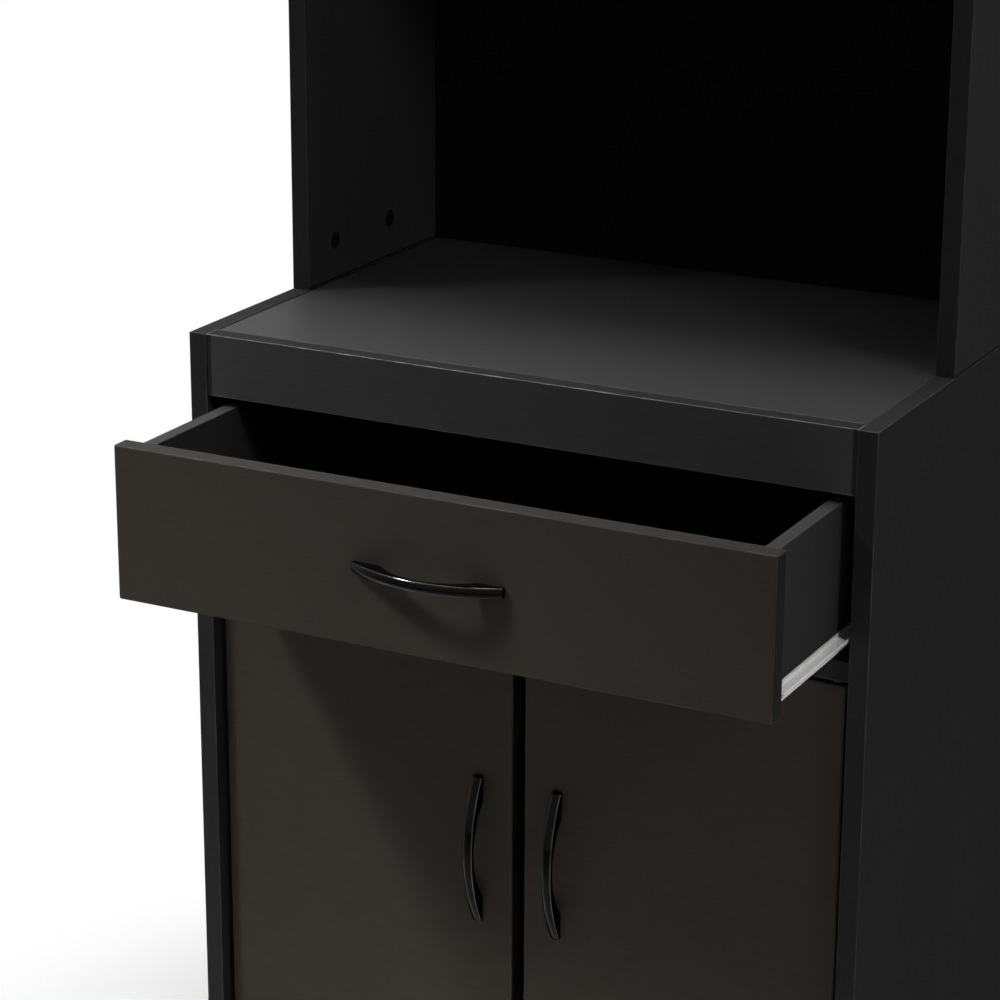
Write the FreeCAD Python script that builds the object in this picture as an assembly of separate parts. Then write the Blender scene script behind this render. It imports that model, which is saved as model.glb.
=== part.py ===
import FreeCAD, Part
import os
from FreeCAD import Vector

# Microwave stand: a two-door cupboard with one drawer under a counter, and a
# shallow open hutch on the counter. Millimetres. X is left to right, Y is front
# to back, Z is up. The drawer is stored part open and the doors are shut.

# ---------------------------------------------------------------- boards
width = 600.0
depth = 400.0
counter_height = 780.0
hutch_height = 420.0
hutch_setback = 164.0          # counter left free in front of the hutch sides
board = 16.0                   # laminated chipboard
drawer_board = 12.0
thin_board = 3.0               # hardboard backs and drawer bottom
arris = 0.6                    # rounded edge of an edge-banded board
front_rounding = 2.0           # around the outer face of the drawer front and doors
apron_height = 52.0
apron_setback = 1.0
front_recess = 9.5             # fronts stand back from the sides' front edges
plinth_height = 60.0
plinth_recess = 30.0
glide_height = 4.0
back_inset = 7.0               # back panel to the rear edge of the sides
groove_depth = 7.5
top_groove_depth = 5.5         # in the underside of the hutch top
shelf_setback = 35.0           # shelf's front edge behind the doors
shelf_lift = 242.0             # shelf's underside above the bottom panel

# ---------------------------------------------------------------- fronts
front_gap = 3.5                # above and below the drawer front and doors
drawer_side_gap = 3.0
door_side_gap = 5.0
door_middle_gap = 11.0
drawer_front_height = 128.5
drawer_pulled_out = 150.0

# ---------------------------------------------------------------- drawer box
drawer_box_drop = 4.5          # box sides below the front's top edge
drawer_box_lift = 5.7          # box sides above the front's bottom edge
drawer_length = 350.0
drawer_bottom_lift = 10.0
drawer_groove = 6.0

# ---------------------------------------------------------------- roller slides
slide_space = 12.5             # cabinet side to drawer side
slide_steel = 1.2
slide_front_play = 2.0         # closed drawer front to the front of the rail
runner_height = 16.0
runner_flange_level = 10.5     # running flange above the drawer side's bottom edge
runner_lip = 2.6
runner_foot = 11.0             # flange under the drawer side
rail_reach = 9.6
rail_roller_radius = 7.3
runner_roller_radius = 6.5
roller_width = 6.5
roller_pin_radius = 2.0
rail_roller_inset = 11.0
rail_roller_room = 2.0         # between the rail's roller and its top flange
runner_roller_inset = 10.0
flange_play = 0.5
lip_rounding = 0.54
rivet_head_radius = 2.8
rivet_head = 0.6
roller_rounding = 0.6
ear_height = 7.5               # of the runner's ear, below the drawer side's bottom edge
slide_screw_inset = 37.0
rail_rear_screw_inset = 52.0

# ---------------------------------------------------------------- handles
handle_length = 130.0
handle_projection = 22.0
handle_width = 8.5
handle_thickness = 5.5
handle_holes = 96.0
handle_foot = 23.0
handle_end = 4.0               # height of the squared-off ends
handle_rounding = 3.4          # makes the outside of the bow a D in section
handle_inner_rounding = 1.2
handle_screw_radius = 2.0
handle_screw_head_radius = 4.2
handle_screw_grip = 7.0
door_handle_drop = 201.0       # door top to the handle's middle
door_handle_edge = 30.5        # door's free edge to the handle's middle line

# ---------------------------------------------------------------- door pivots and catches
pivot_inset = 10.0             # door's outer edge to the pin's axis
pivot_radius = 2.5
pivot_in_door = 14.0
pivot_in_bush = 8.0
bush_radius = 4.0
bush_flange_radius = 6.5
bush_flange = 1.2
catch_offset = 45.0            # catch's middle from the stand's middle plane
catch_width = 40.0
catch_depth = 14.0
catch_height = 12.0
catch_rounding = 1.5
catch_body_width = 22.0        # between the two thin screw ears
catch_ear_height = 4.5
catch_screw_offset = 16.0
strike_width = 30.0
strike_height = 8.0
strike_thickness = 1.0
strike_drop = 8.6              # cupboard's ceiling to the strike plate's middle

# ---------------------------------------------------------------- fasteners
cam_radius = 7.5
cam_setback = 35.0             # cam's centre to the joint
cam_thickness = 12.2
cam_slot_length = 9.0
cam_slot_width = 1.8
cam_slot_depth = 2.4
drawer_cam_setback = 24.0
drawer_cam_thickness = 9.8
drawer_cam_shares = (0.28, 0.78)   # of the drawer side's height above the bottom
drawer_dowel_share = 0.53
drawer_screw_shares = (0.25, 0.75)
back_screw_length = 30.0
cam_spacing = 96.0             # between the two cams at the foot of a hutch side
hutch_cam_inset = 45.0         # hutch side's front edge to its first cam
bolt_radius = 3.0
bolt_head_radius = 3.3
bolt_thread_radius = 2.4
bolt_in_side = 11.0
bolt_hole_radius = 4.0
dowel_radius = 4.0
dowel_in_end = 20.0
dowel_in_face = 9.5
dowel_shares = (0.25, 0.7)     # of the way from the front cam to the rear cam
screw_radius = 1.7
screw_head_radius = 3.3
screw_head = 1.7
screw_length = 14.0
nail_radius = 0.8
nail_head_radius = 2.0
nail_head = 0.6
nail_length = 18.0
nail_pitch = 100.0
shelf_pin_radius = 2.5
shelf_pin_head_radius = 4.5
shelf_pin_length = 8.0
shelf_pin_inset = 40.0
hole_pitch = 32.0
glide_radius = 7.5
glide_rounding = 1.0
glide_inset = 35.0
spike_radius = 1.2
spike_length = 9.0

# ---------------------------------------------------------------- clearances
slip = 0.1                     # around cams, dowels, screws and panels in grooves
running = 0.05                 # around pins that turn and under rollers that roll
seat = 0.3                     # between pieces of different bodies that meet
shelf_play = 1.0               # at each end of the loose shelf
panel_play = 0.5               # between a thin panel's edge and the bottom of its groove
over = 1.0                     # how far a cutter runs past the face it cuts, and a bolt's neck past its cam

# ---------------------------------------------------------------- worked-out places
half = width / 2
inner = half - board
hutch_top_level = counter_height + hutch_height
apron_bottom = counter_height - apron_height
drawer_front_top = apron_bottom - front_gap
drawer_front_bottom = drawer_front_top - drawer_front_height
divider_top = drawer_front_bottom - front_gap
divider_bottom = divider_top - board
door_top = divider_bottom - front_gap
bottom_top = plinth_height + board
door_bottom = bottom_top + front_gap
back_face = depth - back_inset - thin_board
front_back = front_recess + board                     # rear face of shut fronts
door_width = inner - door_side_gap - door_middle_gap / 2

box_top = drawer_front_top - drawer_box_drop
box_bottom = drawer_front_bottom + drawer_box_lift
box_outer = inner - slide_space
box_inner = box_outer - drawer_board
drawer_floor = box_bottom + drawer_bottom_lift
drawer_front_y = front_recess - drawer_pulled_out     # drawer as stored
box_front_y = drawer_front_y + board
box_back_y = box_front_y + drawer_length

flange_level = box_bottom + runner_flange_level       # underside of the running flange
rail_front = front_back + slide_front_play
rail_end = rail_front + min(drawer_length, back_face - rail_front - shelf_play)
rail_top = flange_level - flange_play
rail_roof = rail_top - slide_steel                    # underside of the rail's top flange
runner_roller_level = rail_roof - seat - runner_roller_radius
rail_floor = runner_roller_level - runner_roller_radius - running
rail_roller_level = flange_level - running - rail_roller_radius
rail_roller_y = rail_front + rail_roller_inset
runner_roller_y = box_back_y - runner_roller_inset
roller_outer = inner - slide_steel - screw_head - 2 * seat
runner_wall = box_outer + slide_steel                 # outer face of the runner's wall

pivot_x = inner - door_side_gap - pivot_inset
pivot_y = front_recess + board / 2
reach = drawer_pulled_out - front_recess + handle_projection
front_y = (reach - depth) / 2                         # puts the origin under the box's middle

left, right = -1, 1
side_of = {left: "left", right: "right"}
across = Vector(1, 0, 0)
back = Vector(0, 1, 0)
up = Vector(0, 0, 1)

cuts = {}                      # what is cut from each board, by node
groups = {}                    # fasteners, by node


# ---------------------------------------------------------------- helpers
def span(a, b):
    """A box between two opposite corners."""
    low = Vector(min(a.x, b.x), min(a.y, b.y), min(a.z, b.z))
    high = Vector(max(a.x, b.x), max(a.y, b.y), max(a.z, b.z))
    return Part.makeBox(high.x - low.x, high.y - low.y, high.z - low.z, low)


def plain_box(x, y, z):
    return span(Vector(x[0], y[0], z[0]), Vector(x[1], y[1], z[1]))


def board_box(x, y, z):
    solid = plain_box(x, y, z)
    return solid.makeFillet(arris, solid.Edges)


def front_box(x, y, z):
    """A drawer front or door, whose outer face at y[0] has the rounder edges."""
    solid = plain_box(x, y, z)
    rear = [edge for edge in solid.Edges if all(vertex.Y == y[1] for vertex in edge.Vertexes)]
    solid = solid.makeFillet(front_rounding, [edge for edge in solid.Edges
                                              if not any(edge.isSame(other) for other in rear)])
    rear = [edge for edge in solid.Edges if all(abs(vertex.Y - y[1]) < seat for vertex in edge.Vertexes)]
    return solid.makeFillet(arris, rear)


def rod(start, direction, radius, length):
    return Part.makeCylinder(radius, length, start, direction)


def joined(shapes):
    return shapes[0].fuse(shapes[1:]).removeSplitter()


def cut_from(node, shape):
    cuts.setdefault(node, []).append(shape)


def add_to(node, shape):
    groups.setdefault(node, []).append(shape)


def save(node, shapes):
    """Write one node, with its solids moved from the carcass's front plane to the origin."""
    solids = []
    for shape in shapes:
        for cutter in cuts.get(node, []):
            shape = shape.cut(cutter)
        shape.translate(Vector(0, front_y, 0))
        solids.extend(shape.Solids)
    whole = solids[0] if len(solids) == 1 else Part.makeCompound(solids)
    whole.exportStep("parts/" + node + ".step")


# ---------------------------------------------------------------- fasteners
def cam_fitting(at, face, pull, panel, mate, setback, thickness, level, prefix=""):
    """A cam in one board that draws in a bolt screwed into its neighbour.

    at lies on the board's face over the cam, face is that face's normal, pull
    points to the neighbour, and level is how deep the bolt's axis lies.
    """
    side = face.cross(pull)
    cam = rod(at - face * thickness, face, cam_radius, thickness - seat)
    pocket_half = bolt_head_radius + slip
    pocket = span(at - pull * (pocket_half + slip) + side * pocket_half - face * (level - pocket_half),
                  at + pull * (cam_radius + over) - side * pocket_half - face * (thickness + over))
    slot_reach = cam_slot_length / 2
    slot_half = cam_slot_width / 2
    slot_a = span(at - pull * slot_reach - side * slot_half - face * cam_slot_depth,
                  at + pull * slot_reach + side * slot_half)
    slot_b = span(at - side * slot_reach - pull * slot_half - face * cam_slot_depth,
                  at + side * slot_reach + pull * slot_half)
    add_to(prefix + "cam_locks", cam.cut(pocket).cut(slot_a).cut(slot_b))

    axis = at - face * level
    head = rod(axis - pull * bolt_head_radius, pull, bolt_head_radius, bolt_head_radius)
    neck = rod(axis, pull, bolt_thread_radius, cam_radius + over)
    shank = rod(axis + pull * (cam_radius + over), pull, bolt_radius, setback - cam_radius - over)
    collar = rod(axis + pull * (setback - bolt_hole_radius), pull, bolt_hole_radius - slip, bolt_hole_radius)
    thread = rod(axis + pull * setback, pull, bolt_thread_radius, bolt_in_side)
    add_to(prefix + "cam_bolts", joined([head, neck, shank, collar, thread]))

    cut_from(panel, rod(at - face * (thickness + slip), face, cam_radius + slip, thickness + over))
    cut_from(panel, rod(axis, pull, bolt_hole_radius, setback + over))
    cut_from(mate, rod(axis + pull * (setback - over), pull, bolt_thread_radius + slip,
                       bolt_in_side + over + slip))


def dowel_fitting(at, pull, panel, mate, prefix=""):
    """A dowel across a joint: at lies on the joint and pull points into the neighbour."""
    start = at - pull * dowel_in_end
    add_to(prefix + "dowels", rod(start, pull, dowel_radius, dowel_in_end + dowel_in_face))
    cut_from(panel, rod(start - pull * slip, pull, dowel_radius + slip, dowel_in_end + over))
    cut_from(mate, rod(at - pull * over, pull, dowel_radius + slip, dowel_in_face + over + slip))


def screw(node, at, into, length, boards):
    """A pan-head screw whose head rests at a point, driven into the boards named."""
    head = rod(at - into * screw_head, into, screw_head_radius, screw_head)
    add_to(node, joined([head, rod(at, into, screw_radius, length)]))
    for name in boards:
        cut_from(name, rod(at, into, screw_radius + slip, length + slip))


def panel_ends(panel, level, cam_face, cam_rows, dowel_rows, depth_level):
    """Cams and dowels at both ends of a level board between the sides."""
    for hand in (left, right):
        pull = across * hand
        mate = "side_" + side_of[hand]
        for row in cam_rows:
            at = Vector(hand * (inner - cam_setback), row, level)
            cam_fitting(at, cam_face, pull, panel, mate, cam_setback, cam_thickness, depth_level)
        for row in dowel_rows:
            dowel_fitting(Vector(hand * inner, row, level - cam_face.z * depth_level), pull, panel, mate)


def rail_ends(panel, rear_face, level):
    """One cam at each end of an upright board between the sides, in its rear face."""
    for hand in (left, right):
        at = Vector(hand * (inner - cam_setback), rear_face, level)
        cam_fitting(at, back, across * hand, panel, "side_" + side_of[hand], cam_setback,
                    cam_thickness, board / 2)


# ---------------------------------------------------------------- cabinet
def fit_carcass():
    down = up * -1
    apron_rear = apron_setback + board
    front_row = apron_rear + cam_setback
    rear_row = back_face - cam_setback
    dowel_rows = [front_row + (rear_row - front_row) * share for share in dowel_shares]
    panel_ends("counter_top", counter_height - board, down, (front_row, rear_row), dowel_rows, board / 2)
    panel_ends("divider_shelf", divider_bottom, down, (front_row, rear_row), dowel_rows, board / 2)
    panel_ends("bottom_panel", plinth_height, down, (front_row + plinth_recess, rear_row), dowel_rows,
               board / 2)
    rail_ends("front_apron", apron_rear, apron_bottom + (apron_height - board) / 2)
    rail_ends("plinth_board", plinth_recess + board, (glide_height + plinth_height) / 2)
    for place in (-inner / 2, 0, inner / 2):
        dowel_fitting(Vector(place, apron_rear, counter_height - board / 2), back * -1,
                      "counter_top", "front_apron")
    groove_y = (back_face - slip, back_face + thin_board + slip)
    for hand in (left, right):
        cut_from("side_" + side_of[hand],
                 plain_box((hand * (inner - over), hand * (inner + groove_depth)), groove_y,
                           (glide_height - over, counter_height + over)))
    nail_count = int(2 * (inner - cam_setback) // nail_pitch)
    for panel, top, thin in (("counter_top", counter_height, "hutch_back_panel"),
                             ("divider_shelf", divider_top, "lower_back_panel"),
                             ("bottom_panel", bottom_top, "lower_back_panel")):
        for i in range(nail_count + 1):
            at = Vector((i - nail_count / 2) * nail_pitch, back_face + thin_board, top - board / 2)
            nail = joined([rod(at, back, nail_head_radius, nail_head),
                           rod(at - back * nail_length, back, nail_radius, nail_length)])
            add_to("back_nails", nail)
            for name in (panel, thin):
                cut_from(name, rod(at - back * (nail_length + slip), back, nail_radius + slip,
                                   nail_length + over))


def fit_glides():
    for hand in (left, right):
        for row in (glide_inset, depth - glide_inset):
            foot = Vector(hand * (half - board / 2), row, 0)
            pad = rod(foot, up, glide_radius, glide_height)
            spike = rod(foot, up, spike_radius, glide_height + spike_length)
            add_to("floor_glides", joined([pad.makeFillet(glide_rounding, [pad.Edges[2]]), spike]))
            cut_from("side_" + side_of[hand],
                     rod(foot + up * glide_height, up, spike_radius + slip, spike_length + slip))


def make_carcass():
    for hand in (left, right):
        x = (hand * inner, hand * half)
        save("side_" + side_of[hand], [board_box(x, (0, depth), (glide_height, counter_height))])
    x = (-inner, inner)
    apron_rear = apron_setback + board
    underside = counter_height - board
    save("counter_top", [board_box(x, (apron_rear, back_face), (underside, counter_height))])
    save("front_apron", [board_box(x, (apron_setback, apron_rear), (apron_bottom, counter_height))])
    save("divider_shelf", [board_box(x, (front_recess, back_face), (divider_bottom, divider_top))])
    save("bottom_panel", [board_box(x, (front_recess, back_face), (plinth_height, bottom_top))])
    save("plinth_board", [board_box(x, (plinth_recess, plinth_recess + board),
                                    (glide_height, plinth_height))])
    play = groove_depth - panel_play
    save("lower_back_panel", [plain_box((-inner - play, inner + play), (back_face, back_face + thin_board),
                                        (plinth_height, underside - panel_play))])


def make_shelf():
    bottom = bottom_top + shelf_lift
    front = front_back + shelf_setback
    rear = back_face - shelf_play
    save("cupboard_shelf", [board_box((shelf_play - inner, inner - shelf_play), (front, rear),
                                      (bottom, bottom + board))])
    for hand in (left, right):
        for row in (front + shelf_pin_inset, rear - shelf_pin_inset):
            for step in (-2, -1, 0, 1, 2):
                level = bottom - shelf_pin_radius + step * hole_pitch
                mouth = Vector(hand * (inner - over), row, level)
                cut_from("side_" + side_of[hand], rod(mouth, across * hand, shelf_pin_radius + slip,
                                                      shelf_pin_length + over + slip))
            wall = Vector(hand * inner, row, bottom - shelf_pin_radius)
            out = across * hand
            pin = rod(wall - out * shelf_pin_length, out, shelf_pin_radius, 2 * shelf_pin_length)
            collar = rod(wall - out * shelf_play / 2, out, shelf_pin_head_radius, shelf_play / 2)
            add_to("shelf_pins", joined([pin, collar]))


# ---------------------------------------------------------------- hutch
def fit_hutch():
    down = up * -1
    hutch_depth = depth - hutch_setback
    for hand in (left, right):
        name = "hutch_side_" + side_of[hand]
        mate = "side_" + side_of[hand]
        first = hutch_setback + hutch_cam_inset
        for row in (first, first + cam_spacing):
            cam_fitting(Vector(hand * inner, row, counter_height + cam_setback), across * -hand, down,
                        name, mate, cam_setback, cam_thickness, board / 2)
        for row in (hutch_setback + dowel_in_end, first + cam_spacing + hole_pitch):
            dowel_fitting(Vector(hand * (half - board / 2), row, counter_height), down, name, mate)
        for row in (first, back_face - cam_setback):
            cam_fitting(Vector(hand * (inner - cam_setback), row, hutch_top_level - board), down,
                        across * hand, "hutch_top", name, cam_setback, cam_thickness, board / 2)
        dowel_fitting(Vector(hand * inner, hutch_setback + hutch_depth / 2, hutch_top_level - board / 2),
                      across * hand, "hutch_top", name)
        cut_from(name, plain_box((hand * (inner - over), hand * (inner + groove_depth)),
                                 (back_face - slip, back_face + thin_board + slip),
                                 (counter_height - over, hutch_top_level + over)))
    roof = hutch_top_level - board
    cut_from("hutch_top", plain_box((-half, half), (back_face - slip, back_face + thin_board + slip),
                                    (roof - over, roof + top_groove_depth)))


def make_hutch():
    for hand in (left, right):
        save("hutch_side_" + side_of[hand], [board_box((hand * inner, hand * half), (hutch_setback, depth),
                                                       (counter_height, hutch_top_level))])
    save("hutch_top", [board_box((-inner, inner), (hutch_setback, depth),
                                 (hutch_top_level - board, hutch_top_level))])
    play = groove_depth - panel_play
    roof = hutch_top_level - board
    save("hutch_back_panel", [plain_box((-inner - play, inner + play), (back_face, back_face + thin_board),
                                        (counter_height - board, roof + top_groove_depth - panel_play))])


# ---------------------------------------------------------------- roller slides
def fit_slides():
    level = (rail_roof + rail_floor) / 2
    for hand in (left, right):
        tag = side_of[hand]
        for place in (rail_front + slide_screw_inset, rail_end - rail_rear_screw_inset):
            screw("rail_screws", Vector(hand * (inner - slide_steel), place, level), across * hand,
                  screw_length, ["rail_" + tag, "side_" + tag])
        middle = box_outer - drawer_board / 2
        for place in (slide_screw_inset, drawer_length / 2, drawer_length - slide_screw_inset):
            screw("runner_screws", Vector(hand * middle, box_front_y + place, box_bottom - slide_steel), up,
                  drawer_bottom_lift - slide_steel, ["runner_" + tag, "drawer_side_" + tag])


def make_rail(hand):
    """The cabinet's member: a channel open to the drawer, with a roller pin near its front."""
    floor_z = (rail_floor - slide_steel, rail_floor)
    web_x = (hand * (inner - slide_steel), hand * inner)
    wide_x = (hand * (inner - rail_reach), hand * inner)
    notch = rail_roller_inset + rail_roller_radius + rail_roller_room
    web = plain_box(web_x, (rail_front, rail_end), (floor_z[0], rail_top))
    floor = plain_box(wide_x, (rail_front, rail_end), floor_z)
    roof = plain_box(wide_x, (rail_front + notch, rail_end), (rail_roof, rail_top))
    inward = across * -hand
    foot = Vector(hand * inner, rail_roller_y, rail_roller_level)
    pin_length = slide_steel + seat + roller_width + running
    pin = rod(foot, inward, roller_pin_radius, pin_length)
    rivet = rod(foot + inward * pin_length, inward, rivet_head_radius, rivet_head)
    save("rail_" + side_of[hand], [joined([web, floor, roof, pin, rivet])])


def make_runner(hand):
    """The drawer's member: a foot under the box side, a wall, and a flange that runs on the rail's roller."""
    length_y = (box_front_y, box_back_y)
    bottom = box_bottom - slide_steel
    edge = inner - slide_steel - flange_play
    wall_x = (hand * box_outer, hand * runner_wall)
    wall = plain_box(wall_x, length_y, (bottom, bottom + runner_height))
    foot = plain_box((hand * (box_outer - runner_foot), hand * runner_wall), length_y, (bottom, box_bottom))
    flange = plain_box((hand * box_outer, hand * edge), length_y, (flange_level, flange_level + slide_steel))
    lip_top = flange_level + runner_lip
    lip = plain_box((hand * (edge - slide_steel), hand * edge), length_y, (flange_level, lip_top))
    rims = [rim for rim in lip.Edges if min(end.Z for end in rim.Vertexes) > lip_top - slip]
    lip = lip.makeFillet(lip_rounding, rims)
    ear = plain_box(wall_x, (runner_roller_y - runner_roller_inset, box_back_y),
                    (box_bottom - ear_height, box_bottom))
    out = across * hand
    start = Vector(hand * box_outer, runner_roller_y, runner_roller_level)
    pin_length = roller_outer - box_outer + running
    pin = rod(start, out, roller_pin_radius, pin_length)
    rivet = rod(start + out * pin_length, out, rivet_head_radius, rivet_head / 2)
    save("runner_" + side_of[hand], [joined([wall, foot, flange, lip, ear, pin, rivet])])


def make_roller(node, hand, outer_face, place, level, radius):
    out = across * hand
    wheel = rod(Vector(hand * (outer_face - roller_width), place, level), out, radius, roller_width)
    wheel = wheel.makeFillet(roller_rounding, [wheel.Edges[0], wheel.Edges[2]])
    hole = rod(Vector(hand * (outer_face - roller_width - over), place, level), out,
               roller_pin_radius + running, roller_width + 2 * over)
    save(node + side_of[hand], [wheel.cut(hole)])


def make_slides():
    for hand in (left, right):
        make_rail(hand)
        make_runner(hand)
        make_roller("rail_roller_", hand, inner - slide_steel - seat, rail_roller_y, rail_roller_level,
                    rail_roller_radius)
        make_roller("runner_roller_", hand, roller_outer, runner_roller_y, runner_roller_level,
                    runner_roller_radius)


# ---------------------------------------------------------------- drawer
def fit_drawer():
    rear = box_back_y - drawer_board
    for hand in (left, right):
        name = "drawer_side_" + side_of[hand]
        free = box_top - drawer_floor - thin_board
        for share in drawer_cam_shares:
            at = Vector(hand * box_inner, box_front_y + drawer_cam_setback,
                        drawer_floor + thin_board + free * share)
            cam_fitting(at, across * -hand, back * -1, name, "drawer_front", drawer_cam_setback,
                        drawer_cam_thickness, drawer_board / 2, "drawer_")
        middle = Vector(hand * (box_inner + drawer_board / 2), box_front_y,
                        drawer_floor + thin_board + free * drawer_dowel_share)
        dowel_fitting(middle, back * -1, name, "drawer_front", "drawer_")
        for share in drawer_screw_shares:
            at = Vector(hand * box_outer, rear + drawer_board / 2, drawer_floor + thin_board + free * share)
            screw("drawer_back_screws", at, across * -hand, back_screw_length, [name, "drawer_back"])
        cut_from(name, plain_box((hand * (box_inner - over), hand * (box_inner + drawer_groove)),
                                 (box_front_y - over, box_back_y + over),
                                 (drawer_floor - slip, drawer_floor + thin_board + slip)))
    cut_from("drawer_front", plain_box((-box_inner - drawer_groove, box_inner + drawer_groove),
                                       (box_front_y - drawer_groove, box_front_y + over),
                                       (drawer_floor - slip, drawer_floor + thin_board + slip)))


def make_drawer():
    wide = inner - drawer_side_gap
    save("drawer_front", [front_box((-wide, wide), (drawer_front_y, box_front_y),
                                    (drawer_front_bottom, drawer_front_top))])
    for hand in (left, right):
        save("drawer_side_" + side_of[hand], [board_box((hand * box_inner, hand * box_outer),
                                                        (box_front_y, box_back_y), (box_bottom, box_top))])
    save("drawer_back", [board_box((-box_inner, box_inner), (box_back_y - drawer_board, box_back_y),
                                   (drawer_floor + thin_board, box_top))])
    play = drawer_groove - panel_play
    save("drawer_bottom", [plain_box((-box_inner - play, box_inner + play), (box_front_y - play, box_back_y),
                                     (drawer_floor, drawer_floor + thin_board))])


# ---------------------------------------------------------------- handles
def bow(middle, upright):
    """A bow handle seated on a front face that looks along -Y, level or upright."""
    end = handle_length / 2
    finger = end - handle_foot
    outer = Part.Arc(Vector(-end, -handle_end, 0), Vector(0, -handle_projection, 0),
                     Vector(end, -handle_end, 0))
    hollow = Part.Arc(Vector(finger, 0, 0), Vector(0, handle_thickness - handle_projection, 0),
                      Vector(-finger, 0, 0))
    corners = [Vector(end, -handle_end, 0), Vector(end, 0, 0), Vector(finger, 0, 0)]
    edges = [outer.toShape(), Part.makeLine(corners[0], corners[1]), Part.makeLine(corners[1], corners[2]),
             hollow.toShape()]
    mirrored = [Vector(-point.x, point.y, 0) for point in corners]
    edges += [Part.makeLine(mirrored[2], mirrored[1]), Part.makeLine(mirrored[1], mirrored[0])]
    bar = Part.Face(Part.Wire(edges)).extrude(Vector(0, 0, handle_width))
    bar.translate(Vector(0, 0, -handle_width / 2))
    curved = [edge for edge in bar.Edges if edge.Curve.TypeId == "Part::GeomCircle"]
    outside = [edge for edge in curved if edge.BoundBox.XLength > handle_length - seat]
    inside = [edge for edge in curved if edge.BoundBox.XLength < handle_length - seat]
    bar = bar.makeFillet(handle_rounding, outside)
    inside = [edge for edge in bar.Edges for other in inside
              if edge.CenterOfMass.distanceToPoint(other.CenterOfMass) < seat]
    bar = bar.makeFillet(handle_inner_rounding, inside)
    if upright:
        bar.rotate(Vector(0, 0, 0), Vector(0, 1, 0), 90)
    bar.translate(middle)
    return bar


def make_handle(node, middle, upright, front_node):
    line = up if upright else across
    screws = node.replace("handle", "handle_screws")
    for way in (-1, 1):
        foot = middle + line * (way * handle_holes / 2)
        hole = rod(foot + back * board, back * -1, handle_screw_radius + slip,
                   board + handle_screw_grip + slip)
        cut_from(node, hole)
        cut_from(front_node, hole)
        head = rod(foot + back * board, back, handle_screw_head_radius, screw_head)
        shank = rod(foot + back * board, back * -1, handle_screw_radius, board + handle_screw_grip)
        add_to(screws, joined([head, shank]))
    save(node, [bow(middle, upright)])


# ---------------------------------------------------------------- doors
def fit_door(hand):
    tag = side_of[hand]
    door = "door_" + tag
    hinge = Vector(hand * pivot_x, pivot_y, 0)
    for edge, board_face, way, panel in ((door_top, divider_bottom, up, "divider_shelf"),
                                         (door_bottom, bottom_top, up * -1, "bottom_panel")):
        start = hinge + up * edge - way * pivot_in_door
        length = pivot_in_door + front_gap + pivot_in_bush - seat
        add_to("pivot_pins_" + tag, rod(start, way, pivot_radius, length))
        cut_from(door, rod(start - way * slip, way, pivot_radius + slip, pivot_in_door + over))
        mouth = hinge + up * board_face
        sleeve = rod(mouth, way, bush_radius, pivot_in_bush + over)
        collar = rod(mouth, way * -1, bush_flange_radius, bush_flange)
        hole = rod(mouth - way * (bush_flange + over), way, pivot_radius + running,
                   bush_flange + over + pivot_in_bush)
        add_to("pivot_bushes", joined([sleeve, collar]).cut(hole))
        cut_from(panel, rod(mouth - way * over, way, bush_radius + slip, pivot_in_bush + 2 * over + slip))
    washer_bottom = bottom_top + bush_flange + running
    washer_top = door_bottom - running
    washer = rod(hinge + up * washer_bottom, up, bush_flange_radius, washer_top - washer_bottom)
    hole = rod(hinge + up * (washer_bottom - over), up, pivot_radius + running, front_gap + 2 * over)
    add_to("pivot_washer_" + tag, washer.cut(hole))


def fit_catch(hand):
    tag = side_of[hand]
    middle = hand * catch_offset
    face = front_back + strike_thickness + seat
    case = plain_box((middle - catch_width / 2, middle + catch_width / 2), (face, face + catch_depth),
                     (divider_bottom - catch_height, divider_bottom))
    case = case.makeFillet(catch_rounding, [e for e in case.Edges if e.Vertexes[0].X == e.Vertexes[1].X
                                            and e.Vertexes[0].Y == e.Vertexes[1].Y])
    ear_bottom = divider_bottom - catch_ear_height
    for side in (-1, 1):
        case = case.cut(plain_box((middle + side * catch_body_width / 2, middle + side * catch_width),
                                  (face - over, face + catch_depth + over),
                                  (divider_bottom - catch_height - over, ear_bottom)))
    add_to("door_catches", case)
    for side in (-1, 1):
        at = Vector(middle + side * catch_screw_offset, face + catch_depth / 2, ear_bottom)
        screw("catch_screws", at, up, screw_length, ["door_catches", "divider_shelf"])
    level = divider_bottom - strike_drop
    plate = plain_box((middle - strike_width / 2, middle + strike_width / 2),
                      (front_back, front_back + strike_thickness),
                      (level - strike_height / 2, level + strike_height / 2))
    add_to("strike_plate_" + tag, plate)
    pin = rod(Vector(middle, front_back + strike_thickness, level), back * -1, screw_radius,
              strike_thickness + board / 2)
    add_to("strike_rivet_" + tag, pin)
    for name in ("strike_plate_" + tag, "door_" + tag):
        cut_from(name, rod(Vector(middle, front_back + strike_thickness + over, level), back * -1,
                           screw_radius + slip, strike_thickness + over + board / 2 + slip))


def make_door(hand):
    tag = side_of[hand]
    free_edge = door_middle_gap / 2
    middle = Vector(hand * (free_edge + door_handle_edge), front_recess, door_top - door_handle_drop)
    make_handle("door_handle_" + tag, middle, True, "door_" + tag)
    save("door_" + tag, [front_box((hand * free_edge, hand * (free_edge + door_width)),
                                   (front_recess, front_back), (door_bottom, door_top))])


# ---------------------------------------------------------------- the whole stand
os.makedirs("parts", exist_ok=True)

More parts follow.
